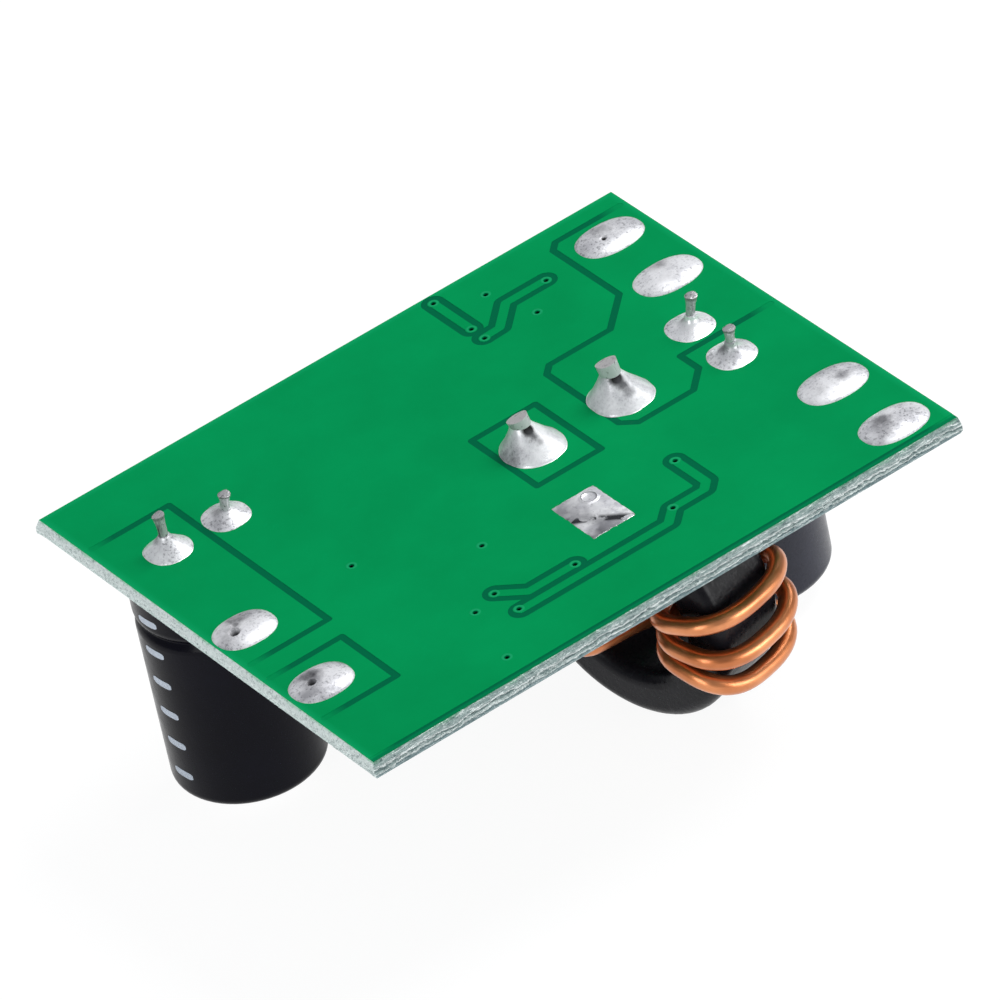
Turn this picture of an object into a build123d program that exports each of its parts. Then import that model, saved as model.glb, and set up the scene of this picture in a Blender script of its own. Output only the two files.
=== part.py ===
from build123d import *
import os
from math import acos, atan2, cos, degrees, hypot, pi, radians, sin, sqrt, tan

# Solar charge controller board, solder side up, with its tall parts hanging below it.
# X runs along the board, Y across it and Z up. The origin is under the middle of the board,
# at the lowest point of the inductor's core, which the board stands on with its capacitors.
# The pieces are drawn about the middle of the solder face. At the end they all move by half
# the web that two snapped sides have, so the origin is under the middle of the whole outline.

# How a round or square block stands at its place: up from it, or down from it
upward = (Align.CENTER, Align.CENTER, Align.MIN)
downward = (Align.CENTER, Align.CENTER, Align.MAX)

# Circuit board
board_length = 35.6
board_width = 28.8
board_thickness = 1.0
snap_web = 0.28
snap_flank = 0.34
copper_margin = 0.42
groove_depth = 0.05
groove_width = 0.38
trace_width = 0.5
seat = 0.02

# Vias, with the copper barrel that lines each of them
via_hole = 0.5
via_wall = 0.06

# Oval solder-filled pads for the wires, one pair for the panel, the load and the battery
wire_pad_length = 3.8
wire_pad_width = 2.7
wire_pad_height = 0.36
wire_pad_hole = 1.5
wire_pad_end_gap = 2.42
panel_pad_back_gap = 3.15
panel_pad_pitch = 4.95
load_pad_front_gap = 2.0
load_pad_pitch = 4.95
battery_pad_end_gap = 2.0
battery_pad_front_gap = 7.05
battery_pad_pitch = 6.35
pit_width = 0.44
pit_depth = 0.5
pit_offset = 0.5

# Electrolytic capacitors, two of one size
can_diameter = 8.0
can_height = 12.35
can_gap = 0.7
can_end_radius = 0.55
can_rim_radius = 0.35
neck_drop = 2.3
neck_depth = 0.24
neck_width = 1.1
sleeve_wall = 0.13
sleeve_end_lap = 0.7
bung_height = 1.6
bung_rim = 0.9
bung_chamfer = 0.15
capacitor_pin_pitch = 3.5
pin_diameter = 0.6
pin_bend = 0.5
pin_hole = 0.9
left_capacitor_end_gap = 4.73
left_capacitor_back_gap = 7.1
right_capacitor_end_gap = 4.28
right_capacitor_y = 0.19
right_can_shift = (-0.1, 0.1)
left_joint_diameter = 2.45
right_joint_diameter = 2.56
capacitor_joint_height = 0.95
joint_lip = 0.12
joint_profile = [(0.0, 1.0), (0.14, 0.57), (0.42, 0.21), (1.0, 0.0)]

# Toroid inductor, standing on its rim
core_outer = 12.7
core_inner = 7.7
core_height = 4.83
core_edge_radius = 0.7
wire_diameter = 1.0
rim_slack = 0.36
bore_slack = 0.93
face_slack = 0.42
winding_board_gap = 0.1
bend_share = 0.45
bend_limit = 2.2
lead_swing = 1.7
core_x = 5.33
core_y = -3.27
core_turn = 15.0
last_bore_angle = 10.0
bore_angle_step = 24.5
rim_angles = [-86.0, -62.0, -38.0, -14.5, 5.0, 20.5]
first_lead_x = 2.3
second_lead_x = 7.74
lead_y = -0.02
lead_hole = 1.4
lead_joint_diameter = 3.34
lead_joint_height = 1.45

# Regulator chip with a heat slug under the thermal window
chip_x = 1.15
chip_y = -6.63
chip_body_width = 3.0
chip_body_length = 3.0
chip_body_height = 0.9
chip_standoff = 0.08
chip_span = 4.9
chip_side_leads = 5
chip_lead_pitch = 0.5
chip_lead_width = 0.22
chip_lead_thickness = 0.15
chip_foot = 0.5
chip_shoulder = 0.28
chip_dimple_radius = 0.25
chip_dimple_depth = 0.06
chip_dimple_inset = 0.6
slug_width = 1.9
slug_length = 2.3
slug_height = 0.4
window_width = 2.62
window_length = 3.66
window_solder = 0.1
window_hole = 0.9
window_rings = [(0.52, 1.08), (-0.75, -0.87)]

# Surface-mounted pieces under the board
diode_length = 4.3
diode_width = 2.6
diode_height = 2.1
diode_span = 5.1
tab_width = 1.45
tab_thickness = 0.2
tab_foot = 1.3
sense_length = 6.3
sense_width = 3.2
sense_height = 0.6
sense_end_gap = 6.2
sense_front_gap = 10.2
resistor_length = 2.0
resistor_width = 1.25
resistor_height = 0.5
ceramic_length = 2.0
ceramic_width = 1.25
ceramic_height = 0.9
light_length = 2.0
light_width = 1.25
light_base_height = 0.35
light_lens_height = 0.45
light_lens_length = 1.3
light_end_gap = 5.2
light_front_gap = 3.0
light_pitch = 3.8
cap_share = 0.22
cap_thickness = 0.05
solder_thickness = 0.04
solder_toe = 0.45
solder_under = 0.45
solder_rise = 0.35
chip_solder_rise = 0.25
lead_solder_rise = 0.18
solder_side_gap = 0.1

# Places of the other surface-mounted pieces on the underside: how far along the board from its
# middle, how far across it from the middle or in from its front or back edge, and the turn
blocking_diode_from_back = (2.0, 5.4, 0.0)
freewheel_diode_from_middle = (-3.5, 1.0, 90.0)
resistors_from_middle = [(-6.5, -6.5, 0.0), (-7.0, -3.0, 0.0)]
resistors_from_front = [(-6.5, 4.4, 0.0), (-2.0, 2.9, 0.0), (2.5, 2.4, 0.0)]
resistors_from_back = [(-6.5, 2.4, 0.0), (-3.0, 2.4, 0.0), (9.5, 5.9, 90.0)]
ceramics_from_middle = [(-6.5, 5.5, 90.0), (-6.5, 2.0, 90.0)]
ceramics_from_front = [(7.0, 2.4, 0.0)]
ceramics_from_back = [(9.5, 2.4, 0.0)]

# Places along the chip's side, in lead pitches from its middle
lead_steps = [index - (chip_side_leads - 1) / 2 for index in range(chip_side_leads)]

# Heights that follow from the sizes above
wire_outer = core_outer / 2 + wire_diameter / 2 + rim_slack
wire_inner = core_inner / 2 - wire_diameter / 2 - bore_slack
wire_face = core_height / 2 + wire_diameter / 2 + face_slack
core_drop = board_thickness + winding_board_gap + wire_diameter / 2 + wire_outer
board_top = core_drop + core_outer / 2
board_bottom = board_top - board_thickness

# Places that follow from the board's edges
end_x = board_length / 2
edge_y = board_width / 2
left_capacitor = (left_capacitor_end_gap - end_x, edge_y - left_capacitor_back_gap)
right_capacitor = (end_x - right_capacitor_end_gap, right_capacitor_y)
panel_pads_x = end_x - wire_pad_end_gap
battery_pads_x = battery_pad_end_gap - end_x
panel_plus_y = edge_y - panel_pad_back_gap
load_minus_y = load_pad_front_gap - edge_y
battery_minus_y = battery_pad_front_gap - edge_y
wire_pads = {
    "panel_plus_pad": (panel_pads_x, panel_plus_y, False),
    "panel_minus_pad": (panel_pads_x, panel_plus_y - panel_pad_pitch, False),
    "load_plus_pad": (panel_pads_x, load_minus_y + load_pad_pitch, False),
    "load_minus_pad": (panel_pads_x, load_minus_y, False),
    "battery_plus_pad": (battery_pads_x, battery_minus_y + battery_pad_pitch, True),
    "battery_minus_pad": (battery_pads_x, battery_minus_y, True),
}
sense_place = (sense_end_gap - end_x, sense_front_gap - edge_y, 90.0)
light_places = [
    (end_x - light_end_gap, light_front_gap - edge_y, 90.0),
    (end_x - light_end_gap, light_front_gap + light_pitch - edge_y, 90.0),
]


def from_front(gaps):
    """Places on the board from their gaps to its front edge."""
    return [(along, gap - edge_y, turn) for along, gap, turn in gaps]


def from_back(gaps):
    """Places on the board from their gaps to its back edge."""
    return [(along, edge_y - gap, turn) for along, gap, turn in gaps]


blocking_diode_place = from_back([blocking_diode_from_back])[0]
resistor_places = resistors_from_middle + from_front(resistors_from_front) + from_back(resistors_from_back)
ceramic_places = ceramics_from_middle + from_front(ceramics_from_front) + from_back(ceramics_from_back)
via_places = [
    (6.07, 13.72),
    (8.29, 12.25),
    (6.07, 10.43),
    (6.07, 9.29),
    (11.05, 10.83),
    (9.14, 8.98),
    (6.35, -6.40),
    (3.98, -9.39),
    (-1.97, -9.32),
    (-6.03, -8.16),
    (-5.93, -10.08),
    (-4.16, -4.55),
    (-7.54, -8.65),
    (-8.59, -12.73),
    (-9.45, -0.87),
]

# Cut ends of the pins and wires above the board: sideways lean and height of each
left_pin_tips = [(-0.16, 0.16, 2.1), (0.1, -0.14, 1.35)]
right_pin_tips = [(0.08, -0.1, 1.6), (0.26, -0.3, 1.9)]
wire_tips = [(-0.35, 0.4, 1.85), (-0.3, 0.36, 2.2)]


def hang(shape, x, y, turn=0.0):
    """Hangs a shape that was modelled standing on Z = 0 from the underside of the board."""
    return Pos(x, y, board_bottom) * Rot(Z=turn) * Rot(X=180) * shape


def stack(*pieces):
    """One group of separate solids."""
    return Compound([solid for piece in pieces for solid in piece.solids()])


def route(points, width):
    """The plan of a round-ended line of one width along several points."""
    plan = Sketch()
    for start, end in zip(points[:-1], points[1:]):
        run_x = end[0] - start[0]
        run_y = end[1] - start[1]
        middle = Pos((start[0] + end[0]) / 2, (start[1] + end[1]) / 2)
        slot = SlotCenterToCenter(hypot(run_x, run_y), width)
        plan += middle * Rot(Z=degrees(atan2(run_y, run_x))) * slot
    return plan


def isolation_gaps():
    """The plan of the gaps between the copper areas on the solder side."""
    copper_end = end_x - copper_margin
    left = -12.72
    back = 13.1
    switch = [
        (copper_end, back),
        (13.3, back),
        (12.8, 12.6),
        (12.8, 6.95),
        (10.72, 4.9),
        (6.9, 4.9),
        (6.35, 4.35),
        (6.35, -1.75),
        (7.05, -2.45),
        (10.45, -2.45),
        (11.72, -1.18),
        (11.72, 0.35),
        (copper_end, 0.35),
    ]
    square = [(0.55, 2.8), (4.48, 2.8), (4.48, -2.77), (0.55, -2.77), (0.55, 2.8)]
    plus = [(-copper_end, 10.3), (left, 10.3), (left, -3.5), (-copper_end, -3.5)]
    minus = [(-copper_end, -5.13), (-13.08, -5.13), (-13.08, -9.77), (-copper_end, -9.77)]
    plan = Sketch()
    for line in (switch, square, plus, minus):
        plan += route(line, groove_width)
    traces = [
        [(6.07, 13.72), (6.07, 10.43)],
        [(6.07, 9.35), (7.1, 9.4), (8.55, 10.87), (11.05, 10.87)],
        [(6.35, -6.4), (6.35, -8.95), (5.9, -9.4), (3.95, -9.4), (3.1, -10.22), (-5.93, -10.22)],
        [(-1.97, -9.32), (-4.8, -9.32), (-6.0, -8.16)],
    ]
    around = Sketch()
    copper = Sketch()
    for trace in traces:
        around += route(trace, trace_width + 2 * groove_width)
        copper += route(trace, trace_width)
    margin = Pos(0, copper_margin / 2 - edge_y) * Rectangle(board_length, copper_margin)
    return plan + (around - copper) + margin


def snapped_panel():
    """The bare board: two sides were scored from both faces and snapped, which left a web on them."""
    face = Rectangle(board_length, board_width)
    wide = Rectangle(board_length + snap_web, board_width + snap_web)
    web = Pos(-snap_web / 2, -snap_web / 2, board_bottom + snap_flank) * wide
    web_thickness = board_thickness - 2 * snap_flank
    lower = loft([Pos(0, 0, board_bottom) * face, web])
    upper = loft([Pos(0, 0, web_thickness) * web, Pos(0, 0, board_top) * face])
    return lower + extrude(web, amount=web_thickness) + upper


def circuit_board():
    """The glass-fibre board with its drilled holes and the shallow gaps between copper areas."""
    board = snapped_panel()
    gaps = isolation_gaps() & Rectangle(board_length, board_width)
    board -= Pos(0, 0, board_top - groove_depth) * extrude(gaps, amount=2 * groove_depth)
    holes = [(x, y, via_hole) for x, y in via_places]
    holes += [(x, y, wire_pad_hole) for x, y, pitted in wire_pads.values()]
    for pin in pin_places(left_capacitor, 0) + pin_places(right_capacitor, 90):
        holes.append((pin[0], pin[1], pin_hole))
    holes += [(x, lead_y, lead_hole) for x in (first_lead_x, second_lead_x)]
    holes += [(chip_x + dx, chip_y + dy, window_hole) for dx, dy in window_rings]
    for x, y, width in holes:
        board -= Pos(x, y, board_top - board_thickness / 2) * Cylinder(width / 2, 2 * board_thickness)
    return board


def plated_vias():
    """The copper barrel in each via."""
    outer = via_hole / 2
    inner = outer - via_wall
    length = board_thickness - groove_depth
    barrel = Cylinder(outer, length) - Cylinder(inner, length)
    middle = board_bottom + length / 2
    return stack(*[Pos(x, y, middle) * barrel for x, y in via_places])


def solder_dome(length, width, height):
    """A low oval mound: a slice of a round bar with a slice of a ball at each end."""
    ball = (width**2 / 4 + height**2) / (2 * height)
    half = (length - width) / 2
    profile = Plane.XZ * make_face(
        Line((0, 0), (width / 2, 0))
        + ThreePointArc(
            (width / 2, 0),
            (sqrt(ball**2 - (ball - height / 2) ** 2), height / 2),
            (0, height),
        )
        + Line((0, height), (0, 0))
    )
    end = revolve(profile, Axis.Z, 360)
    both = profile + mirror(profile, Plane.YZ)
    middle = Rot(Z=90) * Pos(0, half, 0) * extrude(both, amount=2 * half, dir=(0, -1, 0))
    return Pos(half, 0, 0) * end + Pos(-half, 0, 0) * end + middle


def wire_pad(x, y, pitted):
    """The solder that fills a wire pad: a mound on each side and the plug in the hole."""
    mound = solder_dome(wire_pad_length, wire_pad_width, wire_pad_height)
    foot = solder_dome(wire_pad_length, wire_pad_width, wire_pad_height / 2)
    plug = Cylinder(wire_pad_hole / 2 - seat, board_thickness, align=downward)
    solder = mound + plug + Pos(0, 0, -board_thickness) * Rot(X=180) * foot
    if pitted:
        pit = Cone(0.1 * pit_width, pit_width / 2, pit_depth)
        solder -= Pos(-pit_offset, 0, wire_pad_height - pit_depth / 4) * pit
    return Pos(x, y, board_top) * solder


def pin_places(centre, turn):
    """Where a capacitor's two pins go through the board."""
    reach = capacitor_pin_pitch / 2
    across = (cos(radians(turn)), sin(radians(turn)))
    return [(centre[0] + side * reach * across[0], centre[1] + side * reach * across[1]) for side in (-1, 1)]


def fillet_cone(width, height, core, plug, tip):
    """A solder joint: a hollow-sided cone that leans with its pin, and the ring in the hole."""
    lean_x, lean_y, rise = tip
    throat = core / 2 + joint_lip
    rings = []
    for climb, spread in joint_profile:
        level = climb * height
        ring = Circle(throat + spread * (width / 2 - throat))
        rings.append(Pos(lean_x * level / rise, lean_y * level / rise, level) * ring)
    ring = Cylinder(plug / 2 - seat, board_thickness, align=downward)
    return loft(rings) + ring


def capacitor_profile(shrink, ends):
    """Half the section of the can, made smaller all round by shrink, with its rolled neck."""
    radius = can_diameter / 2 - shrink
    low = ends
    high = can_height - ends
    middle = can_height - neck_drop
    edge = can_end_radius
    line = Polyline((0, low), (radius - edge, low))
    line += RadiusArc((radius - edge, low), (radius, low + edge), -edge)
    line += Line((radius, low + edge), (radius, middle - neck_width / 2))
    line += Spline(
        (radius, middle - neck_width / 2),
        (radius - neck_depth, middle),
        (radius, middle + neck_width / 2),
        tangents=((0, 1), (0, 1)),
    )
    line += Line((radius, middle + neck_width / 2), (radius, high - can_rim_radius))
    line += RadiusArc((radius, high - can_rim_radius), (radius - can_rim_radius, high), -can_rim_radius)
    line += Polyline((radius - can_rim_radius, high), (0, high), (0, low))
    return Plane.XZ * make_face(line)


def capacitor_can():
    """The sealed aluminium can with the recess that holds its rubber bung."""
    can = revolve(capacitor_profile(sleeve_wall + seat, 0.0), Axis.Z, 360)
    bung_radius = can_diameter / 2 - sleeve_wall - bung_rim
    recess = Cylinder(bung_radius, bung_height, align=downward)
    return can - Pos(0, 0, can_height) * recess


def capacitor_sleeve():
    """The shrunk plastic sleeve, open in the middle of both ends."""
    outside = revolve(capacitor_profile(0.0, -sleeve_wall), Axis.Z, 360)
    inside = revolve(capacitor_profile(sleeve_wall, -seat), Axis.Z, 360)
    window = Cylinder(can_diameter / 2 - sleeve_wall - sleeve_end_lap, 2 * can_height)
    return outside - inside - Pos(0, 0, can_height / 2) * window


def capacitor_bung():
    """The rubber disc that the pins come out of."""
    radius = can_diameter / 2 - sleeve_wall - bung_rim - seat
    bung = Cylinder(radius, bung_height, align=downward)
    bung = chamfer(bung.edges().group_by(Axis.Z)[-1], bung_chamfer)
    for side in (-1, 1):
        bung -= Pos(side * capacitor_pin_pitch / 2, 0, 0) * Cylinder(pin_diameter / 2 + seat, 3 * bung_height)
    return Pos(0, 0, can_height) * bung


def pin(hole, root, low, tip):
    """A capacitor pin from its root in the bung to its hole, leaning above it to its cut end."""
    lean_x, lean_y, rise = tip
    bung_top = board_bottom - can_gap
    points = [
        (*root, low),
        (*root, bung_top),
        (*hole, board_bottom),
        (*hole, board_top),
        (hole[0] + lean_x, hole[1] + lean_y, board_top + rise),
    ]
    radii = [pin_bend, pin_bend, pin_diameter]
    if root == hole:
        points = [points[0]] + points[3:]
        radii = [pin_diameter]
    path = FilletPolyline(*points, radius=radii)
    return sweep(Plane(path @ 0, z_dir=path % 0) * Circle(pin_diameter / 2), path=path)


def capacitor(name, centre, shift, turn, tips, joint_diameter):
    """One capacitor: can, sleeve, bung, pins and the joints that hold it."""
    base = board_bottom - can_gap - can_height
    can_centre = (centre[0] + shift[0], centre[1] + shift[1])
    place = Pos(*can_centre, base) * Rot(Z=turn)
    holes = pin_places(centre, turn)
    roots = pin_places(can_centre, turn)
    pins = []
    joints = []
    for hole, root, tip in zip(holes, roots, tips):
        pins.append(pin(hole, root, base + can_height - bung_height + seat, tip))
        joint = fillet_cone(joint_diameter, capacitor_joint_height, pin_diameter, pin_hole, tip)
        joints.append(Pos(*hole, board_top) * joint - pins[-1])
    return {
        name + "_can": place * capacitor_can(),
        name + "_sleeve": place * capacitor_sleeve(),
        name + "_bung": place * capacitor_bung(),
        name + "_pins": stack(*pins),
        name + "_solder": stack(*joints),
    }


# The inductor's own directions: out of its front face, along its rim and down
face_out = Vector(-cos(radians(core_turn)), -sin(radians(core_turn)), 0)
rim_along = Vector(sin(radians(core_turn)), -cos(radians(core_turn)), 0)
core_centre = Vector(core_x, core_y, board_top - core_drop)


def ring_point(radius, angle, forward):
    """A point by its distance from the core's axis, its angle below the level and its depth."""
    along = radius * cos(radians(angle))
    down = radius * sin(radians(angle))
    return core_centre + rim_along * along + Vector(0, 0, -down) + face_out * forward


def inductor_core():
    """The powdered-iron ring with rounded edges."""
    middle = (core_inner + core_outer) / 4
    section = Pos(middle, 0) * RectangleRounded((core_outer - core_inner) / 2, core_height, core_edge_radius)
    ring = revolve(Plane.XZ * section, Axis.Z, 360)
    return Plane(origin=core_centre, x_dir=rim_along, z_dir=face_out) * ring


def winding_points():
    """The corners of the wire: in by the back lead, round the core, and out by the front lead."""
    top = board_top
    lean_x, lean_y, rise = wire_tips[1]
    points = [
        Vector(second_lead_x + lean_x, lead_y + lean_y, top + rise),
        Vector(second_lead_x, lead_y, top),
        Vector(second_lead_x, lead_y, board_bottom - wire_diameter / 2),
    ]
    first_bore_angle = last_bore_angle - (len(rim_angles) - 1) * bore_angle_step
    for index, rim_angle in enumerate(rim_angles):
        bore_angle = first_bore_angle + index * bore_angle_step
        points.append(ring_point(wire_inner, bore_angle, -wire_face))
        points.append(ring_point(wire_inner, bore_angle, wire_face))
        points.append(ring_point(wire_outer, rim_angle, wire_face))
        points.append(ring_point(wire_outer, rim_angle, -wire_face))
    points.append(ring_point(wire_inner, last_bore_angle + 56, -wire_face))
    points.append(ring_point(1.16 * wire_inner, last_bore_angle + 100, core_height / 2 + lead_swing))
    points.append(ring_point(0.78 * wire_outer, last_bore_angle - 154, core_height / 2 + wire_diameter))
    points.append(Vector(first_lead_x, lead_y, board_bottom - wire_diameter / 2))
    points.append(Vector(first_lead_x, lead_y, top))
    lean_x, lean_y, rise = wire_tips[0]
    points.append(Vector(first_lead_x + lean_x, lead_y + lean_y, top + rise))
    return points


def bend_radii(points):
    """The bend at each inner corner: within the limit and within a share of the shorter run."""
    radii = []
    for before, corner, after in zip(points[:-2], points[1:-1], points[2:]):
        run_in = corner - before
        run_out = after - corner
        turn = radians(run_in.get_angle(run_out))
        room = bend_share * min(run_in.length, run_out.length)
        radii.append(min(bend_limit, room / tan(turn / 2)))
    return radii


def inductor_winding():
    """The enamelled copper wire, one length from cut end to cut end."""
    points = winding_points()
    path = FilletPolyline(*points, radius=bend_radii(points))
    return sweep(Plane(path @ 0, z_dir=path % 0) * Circle(wire_diameter / 2), path=path)


def inductor_solder(winding):
    """The two tall joints at the ends of the winding."""
    joints = []
    for x, tip in zip((first_lead_x, second_lead_x), wire_tips):
        joint = fillet_cone(lead_joint_diameter, lead_joint_height, wire_diameter, lead_hole, tip)
        joints.append(Pos(x, lead_y, board_top) * joint - winding)
    return stack(*joints)


def moulding(length, width, height, draft=0.12, waist=0.5):
    """A moulded block with sloping sides above and below its parting line."""
    middle = Rectangle(length, width)
    top = Rectangle(length - 2 * draft, width - 2 * draft)
    lower = loft([top, Pos(0, 0, waist * height) * middle])
    upper = loft([Pos(0, 0, waist * height) * middle, Pos(0, 0, height) * top])
    return lower + upper


def chip_lead():
    """One gull-wing lead, from inside the body's side down to its foot."""
    start = chip_body_width / 2
    shin = start + chip_shoulder
    low = solder_thickness
    thick = chip_lead_thickness
    knee = low + chip_standoff + chip_body_height / 2 + thick / 2
    tip = chip_span / 2
    outline = Polyline(
        (start, knee - thick),
        (shin, knee - thick),
        (tip - chip_foot, low),
        (tip, low),
        (tip, low + thick),
        (tip - chip_foot + thick / 2, low + thick),
        (shin + thick / 2, knee),
        (start, knee),
        (start, knee - thick),
    )
    face = Plane.XZ * make_face(outline)
    return extrude(face, amount=chip_lead_width / 2, both=True)


def regulator():
    """The power chip: moulded body, ten leads and the heat slug under it."""
    base = solder_thickness + chip_standoff
    body = Pos(0, 0, base) * moulding(chip_body_width, chip_body_length, chip_body_height)
    slug = Pos(0, 0, base) * Box(slug_width, slug_length, slug_height, align=upward)
    dimple_x = chip_body_width / 2 - chip_dimple_inset
    dimple_y = chip_body_length / 2 - chip_dimple_inset
    dimple = Cylinder(chip_dimple_radius, 2 * chip_dimple_depth)
    body -= slug
    body -= Pos(dimple_x, dimple_y, base + chip_body_height) * dimple
    leads = []
    for side in (0, 180):
        for step in lead_steps:
            leads.append(Rot(Z=side) * Pos(0, step * chip_lead_pitch, 0) * chip_lead())
    return {
        "regulator_body": hang(body, chip_x, chip_y),
        "regulator_leads": hang(stack(*leads), chip_x, chip_y),
        "regulator_slug": hang(slug, chip_x, chip_y),
    }


def thermal_pad_solder():
    """The tinned window over the slug, joined to it through two holes with raised rings."""
    window = Box(window_width, window_length, window_solder, align=upward)
    window = chamfer(window.edges().group_by(Axis.Z)[-1], 0.6 * window_solder)
    reach = board_thickness + solder_thickness + chip_standoff
    for dx, dy in window_rings:
        window += Pos(dx, dy, 0) * Cylinder(window_hole / 2 - seat, reach, align=downward)
        window += Pos(dx, dy, window_solder) * Torus(window_hole / 2, 0.7 * window_solder)
    under = Box(slug_width, slug_length, reach - board_thickness, align=downward)
    window += Pos(0, 0, -board_thickness) * under
    return Pos(chip_x, chip_y, board_top) * window


def diode(name, place):
    """A moulded power diode with a flat tab folded under each end."""
    low = solder_thickness
    body = Pos(0, 0, low + tab_thickness) * moulding(diode_length, diode_width, diode_height)
    knee = low + tab_thickness + diode_height / 2
    tabs = []
    for side in (0, 180):
        outline = Polyline(
            (diode_length / 2, knee),
            (diode_span / 2, knee),
            (diode_span / 2, low),
            (diode_span / 2 - tab_foot, low),
            (diode_span / 2 - tab_foot, low + tab_thickness),
            (diode_span / 2 - tab_thickness, low + tab_thickness),
            (diode_span / 2 - tab_thickness, knee - tab_thickness),
            (diode_length / 2, knee - tab_thickness),
            (diode_length / 2, knee),
        )
        tab = extrude(Plane.XZ * make_face(outline), amount=tab_width / 2, both=True)
        tabs.append(Rot(Z=side) * tab)
    return {
        name + "_body": hang(body, *place),
        name + "_tabs": hang(stack(*tabs), *place),
    }


def end_caps(length, width, height, wrap):
    """The two metal end caps of a chip part, each wrapped round its end."""
    block = Pos(0, 0, height / 2) * Box(length, width, height)
    wall = 2 * cap_thickness
    inner = Pos(0, 0, height / 2) * Box(length - wall, width - wall, height - wall)
    hollow = block - inner
    middle = Pos(0, 0, height / 2) * Box(length - 2 * wrap, 2 * width, 2 * height)
    return [Pos(0, 0, solder_thickness) * cap for cap in (hollow - middle).solids()]


def chip_body(length, width, height):
    """The ceramic block of a chip part, inside its end caps."""
    wall = 2 * cap_thickness
    block = Box(length - wall, width - wall, height - wall, align=upward)
    return Pos(0, 0, solder_thickness + cap_thickness) * block


def chip_parts(name, length, width, height, places):
    """Several chip parts of one size: their blocks and their end caps."""
    caps = end_caps(length, width, height, cap_share * length)
    body = chip_body(length, width, height)
    return {
        name + "_bodies": stack(*[hang(body, *place) for place in places]),
        name + "_caps": stack(*[hang(cap, *place) for place in places for cap in caps]),
    }


def status_lights():
    """Two signal lights: a base with end caps and a clear lens on each."""
    parts = chip_parts("status_light", light_length, light_width, light_base_height, light_places)
    lens = Pos(0, 0, solder_thickness + light_base_height) * moulding(
        light_lens_length, light_width - 2 * cap_thickness, light_lens_height, waist=0.2
    )
    parts["status_light_lenses"] = stack(*[hang(lens, *place) for place in light_places])
    return parts


def toe(x, width, height):
    """The solder under and in front of one terminal that ends at x, with its sloping toe."""
    outline = Polyline(
        (x - solder_under, 0),
        (x + solder_toe, 0),
        (x + seat, height),
        (x + seat, solder_thickness),
        (x - solder_under, solder_thickness),
        (x - solder_under, 0),
    )
    return extrude(Plane.XZ * make_face(outline), amount=width / 2, both=True)


def both_toes(x, width, height, place):
    """The solder at both ends of one two-ended part."""
    return [hang(Rot(Z=side) * toe(x, width, height), *place) for side in (0, 180)]


def smd_solder():
    """The solder that holds the surface-mounted pieces to the underside."""
    joints = []
    for place in (blocking_diode_place, freewheel_diode_from_middle):
        joints += both_toes(diode_span / 2, tab_width, solder_rise, place)
    joints += both_toes(sense_length / 2, sense_width - solder_side_gap, solder_rise, sense_place)
    chips = [(resistor_length, resistor_width, place) for place in resistor_places]
    chips += [(ceramic_length, ceramic_width, place) for place in ceramic_places]
    chips += [(light_length, light_width, place) for place in light_places]
    for length, width, place in chips:
        joints += both_toes(length / 2, width - solder_side_gap, chip_solder_rise, place)
    foot = toe(chip_span / 2, chip_lead_width, lead_solder_rise)
    for side in (0, 180):
        for step in lead_steps:
            joints.append(hang(Rot(Z=side) * Pos(0, step * chip_lead_pitch, 0) * foot, chip_x, chip_y))
    return stack(*joints)


winding = inductor_winding()
parts = {
    "circuit_board": circuit_board(),
    "plated_vias": plated_vias(),
    "thermal_pad_solder": thermal_pad_solder(),
    "inductor_core": inductor_core(),
    "inductor_winding": winding,
    "inductor_solder": inductor_solder(winding),
    "smd_solder": smd_solder(),
}
for pad_name, pad_place in wire_pads.items():
    parts[pad_name] = wire_pad(*pad_place)
parts |= capacitor("left_capacitor", left_capacitor, (0, 0), 0, left_pin_tips, left_joint_diameter)
parts |= capacitor(
    "right_capacitor", right_capacitor, right_can_shift, 90, right_pin_tips, right_joint_diameter
)
parts |= regulator()
parts |= diode("blocking_diode", blocking_diode_place)
parts |= diode("freewheel_diode", freewheel_diode_from_middle)
parts |= chip_parts("sense_resistor", sense_length, sense_width, sense_height, [sense_place])
parts |= chip_parts("chip_resistor", resistor_length, resistor_width, resistor_height, resistor_places)
parts |= chip_parts("chip_capacitor", ceramic_length, ceramic_width, ceramic_height, ceramic_places)
parts |= status_lights()

os.makedirs("parts", exist_ok=True)
for node, shape in parts.items():
    export_step(Pos(snap_web / 2, snap_web / 2, 0) * shape, f"parts/{node}.step")
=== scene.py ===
from math import copysign, cos, hypot, pi, radians, sin, tan

import bpy
from mathutils import Matrix, Vector, noise

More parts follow.
